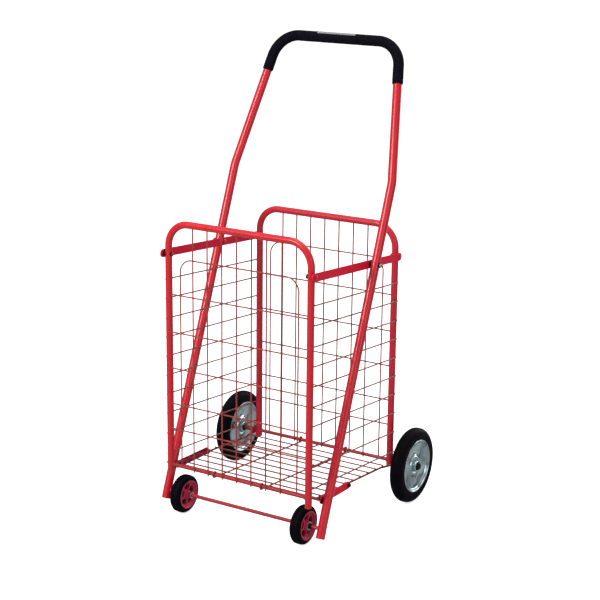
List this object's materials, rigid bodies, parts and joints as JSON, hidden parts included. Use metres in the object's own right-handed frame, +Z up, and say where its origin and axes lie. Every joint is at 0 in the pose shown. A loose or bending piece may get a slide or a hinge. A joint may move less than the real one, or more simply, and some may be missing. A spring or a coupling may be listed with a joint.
{
  "type": "rolling basket trolley",
  "caption": "Folding wire basket trolley: tube frames joined by hinged arms and side wires, wire floor, leaning push handle with foam grip, small front wheels and large rear wheels.",
  "frame": {"origin": "on the ground, under the middle of the outer box", "axes": "+Z up, -Y towards the small front wheels, +X to the right seen from the front"},
  "size_m": [0.505, 0.457, 1.0197],
  "materials": {
    "red_paint": "glossy powder coat",
    "red_wire": "glossy powder coat on wire",
    "black_plastic": "moulded, satin",
    "foam": "closed-cell foam, matte",
    "zinc": "zinc plated",
    "rubber": "matte",
    "red_plastic": "moulded, satin",
    "chrome_disc": "bright plated pressing"
  },
  "bodies": {
    "rear_frame": {"rear_frame_tube": "red_paint", "rear_uprights": "red_wire", "rear_crosswires": "red_wire", "rear_hoop": "red_wire", "rear_axle": "red_wire", "rear_arm_pins": "red_paint", "rear_arm_saddles": "black_plastic", "rear_pin_caps": "black_plastic", "rear_axle_spacers": "red_wire", "rear_axle_caps": "black_plastic"},
    "arms": {"arm_left": "red_paint", "arm_right": "red_paint"},
    "front_frame": {"front_frame_tube": "red_paint", "front_uprights": "red_wire", "front_crosswires": "red_wire", "front_hoop": "red_wire", "front_rail": "red_wire", "front_arm_pins": "red_paint", "front_arm_saddles": "black_plastic", "front_pin_caps": "black_plastic"},
    "handle": {"handle_tube": "red_paint", "handle_grip": "foam", "handle_bolts": "red_paint", "handle_spacers": "black_plastic", "handle_washers": "black_plastic", "handle_nuts": "zinc", "lower_rod": "red_wire", "lower_rod_discs": "black_plastic", "front_axle": "red_wire", "front_axle_nuts": "black_plastic", "front_axle_washers": "zinc", "front_axle_collars": "zinc"},
    "lower_links": {"lower_link_left": "red_paint", "lower_link_right": "red_paint", "lower_link_rivets": "black_plastic"},
    "floor_panel": {"floor_crosswires": "red_wire", "floor_ties": "red_wire", "floor_side_rod_left": "red_wire", "floor_side_rod_right": "red_wire"},
    "front_left_wheel": {"front_left_tyre": "rubber", "front_left_rim": "red_plastic"},
    "front_right_wheel": {"front_right_tyre": "rubber", "front_right_rim": "red_plastic"},
    "rear_left_wheel": {"rear_left_tyre": "rubber", "rear_left_rim": "chrome_disc", "rear_left_hub": "black_plastic"},
    "rear_right_wheel": {"rear_right_tyre": "rubber", "rear_right_rim": "chrome_disc", "rear_right_hub": "black_plastic"},
    "side_wires_01": {"side_wires_01": "red_wire"},
    "side_wires_02": {"side_wires_02": "red_wire"},
    "side_wires_03": {"side_wires_03": "red_wire"},
    "side_wires_04": {"side_wires_04": "red_wire"},
    "side_wires_05": {"side_wires_05": "red_wire"},
    "side_wires_06": {"side_wires_06": "red_wire"},
    "side_wires_07": {"side_wires_07": "red_wire"},
    "side_wires_08": {"side_wires_08": "red_wire"},
    "side_wires_09": {"side_wires_09": "red_wire"},
    "side_wires_10": {"side_wires_10": "red_wire"}
  },
  "joints": [
    {"name": "fold", "type": "hinge", "parent": "rear_frame", "child": "arms", "pos_m": [0, 0.1445, 0.554], "axis": [-1, 0, 0], "range_deg": [0, 70]},
    {"name": "front_frame_swing", "type": "hinge", "parent": "arms", "child": "front_frame", "pos_m": [0, -0.204, 0.582], "axis": [1, 0, 0], "range_deg": [0, 70]},
    {"name": "handle_swing", "type": "hinge", "parent": "arms", "child": "handle", "pos_m": [0, 0.01468, 0.56443], "axis": [1, 0, 0], "range_deg": [0, 80]},
    {"name": "lower_link_swing", "type": "hinge", "parent": "handle", "child": "lower_links", "pos_m": [0, -0.16556, 0.09634], "axis": [1, 0, 0], "range_deg": [0, 46]},
    {"name": "floor_swing", "type": "hinge", "parent": "rear_frame", "child": "floor_panel", "pos_m": [0, 0.1445, 0.084], "axis": [-1, 0, 0], "range_deg": [0, 70]},
    {"name": "side_wires_01_swing", "type": "hinge", "parent": "rear_frame", "child": "side_wires_01", "pos_m": [0, 0.1445, 0.4967], "axis": [-1, 0, 0], "range_deg": [0, 70]},
    {"name": "side_wires_02_swing", "type": "hinge", "parent": "rear_frame", "child": "side_wires_02", "pos_m": [0, 0.1445, 0.4548], "axis": [-1, 0, 0], "range_deg": [0, 70]},
    {"name": "side_wires_03_swing", "type": "hinge", "parent": "rear_frame", "child": "side_wires_03", "pos_m": [0, 0.1445, 0.4107], "axis": [-1, 0, 0], "range_deg": [0, 70]},
    {"name": "side_wires_04_swing", "type": "hinge", "parent": "rear_frame", "child": "side_wires_04", "pos_m": [0, 0.1445, 0.369], "axis": [-1, 0, 0], "range_deg": [0, 70]},
    {"name": "side_wires_05_swing", "type": "hinge", "parent": "rear_frame", "child": "side_wires_05", "pos_m": [0, 0.1445, 0.3266], "axis": [-1, 0, 0], "range_deg": [0, 70]},
    {"name": "side_wires_06_swing", "type": "hinge", "parent": "rear_frame", "child": "side_wires_06", "pos_m": [0, 0.1445, 0.2838], "axis": [-1, 0, 0], "range_deg": [0, 70]},
    {"name": "side_wires_07_swing", "type": "hinge", "parent": "rear_frame", "child": "side_wires_07", "pos_m": [0, 0.1445, 0.2418], "axis": [-1, 0, 0], "range_deg": [0, 70]},
    {"name": "side_wires_08_swing", "type": "hinge", "parent": "rear_frame", "child": "side_wires_08", "pos_m": [0, 0.1445, 0.1982], "axis": [-1, 0, 0], "range_deg": [0, 70]},
    {"name": "side_wires_09_swing", "type": "hinge", "parent": "rear_frame", "child": "side_wires_09", "pos_m": [0, 0.1445, 0.1529], "axis": [-1, 0, 0], "range_deg": [0, 70]},
    {"name": "side_wires_10_swing", "type": "hinge", "parent": "rear_frame", "child": "side_wires_10", "pos_m": [0, 0.1445, 0.1062], "axis": [-1, 0, 0], "range_deg": [0, 70]},
    {"name": "front_left_wheel_spin", "type": "hinge", "parent": "handle", "child": "front_left_wheel", "pos_m": [0, -0.18649, 0.042], "axis": [1, 0, 0], "continuous": true},
    {"name": "rear_left_wheel_spin", "type": "hinge", "parent": "rear_frame", "child": "rear_left_wheel", "pos_m": [0, 0.1445, 0.084], "axis": [1, 0, 0], "continuous": true},
    {"name": "front_right_wheel_spin", "type": "hinge", "parent": "handle", "child": "front_right_wheel", "pos_m": [0, -0.18649, 0.042], "axis": [1, 0, 0], "continuous": true},
    {"name": "rear_right_wheel_spin", "type": "hinge", "parent": "rear_frame", "child": "rear_right_wheel", "pos_m": [0, 0.1445, 0.084], "axis": [1, 0, 0], "continuous": true}
  ],
  "couplings": [
    {"joint": "front_frame_swing", "follows": "fold", "ratio": 1},
    {"joint": "handle_swing", "follows": "fold", "ratio": 1.1235},
    {"joint": "lower_link_swing", "follows": "fold", "ratio": 0.6276},
    {"joint": "floor_swing", "follows": "fold", "ratio": 1},
    {"joint": "side_wires_01_swing", "follows": "fold", "ratio": 1},
    {"joint": "side_wires_02_swing", "follows": "fold", "ratio": 1},
    {"joint": "side_wires_03_swing", "follows": "fold", "ratio": 1},
    {"joint": "side_wires_04_swing", "follows": "fold", "ratio": 1},
    {"joint": "side_wires_05_swing", "follows": "fold", "ratio": 1},
    {"joint": "side_wires_06_swing", "follows": "fold", "ratio": 1},
    {"joint": "side_wires_07_swing", "follows": "fold", "ratio": 1},
    {"joint": "side_wires_08_swing", "follows": "fold", "ratio": 1},
    {"joint": "side_wires_09_swing", "follows": "fold", "ratio": 1},
    {"joint": "side_wires_10_swing", "follows": "fold", "ratio": 1}
  ]
}
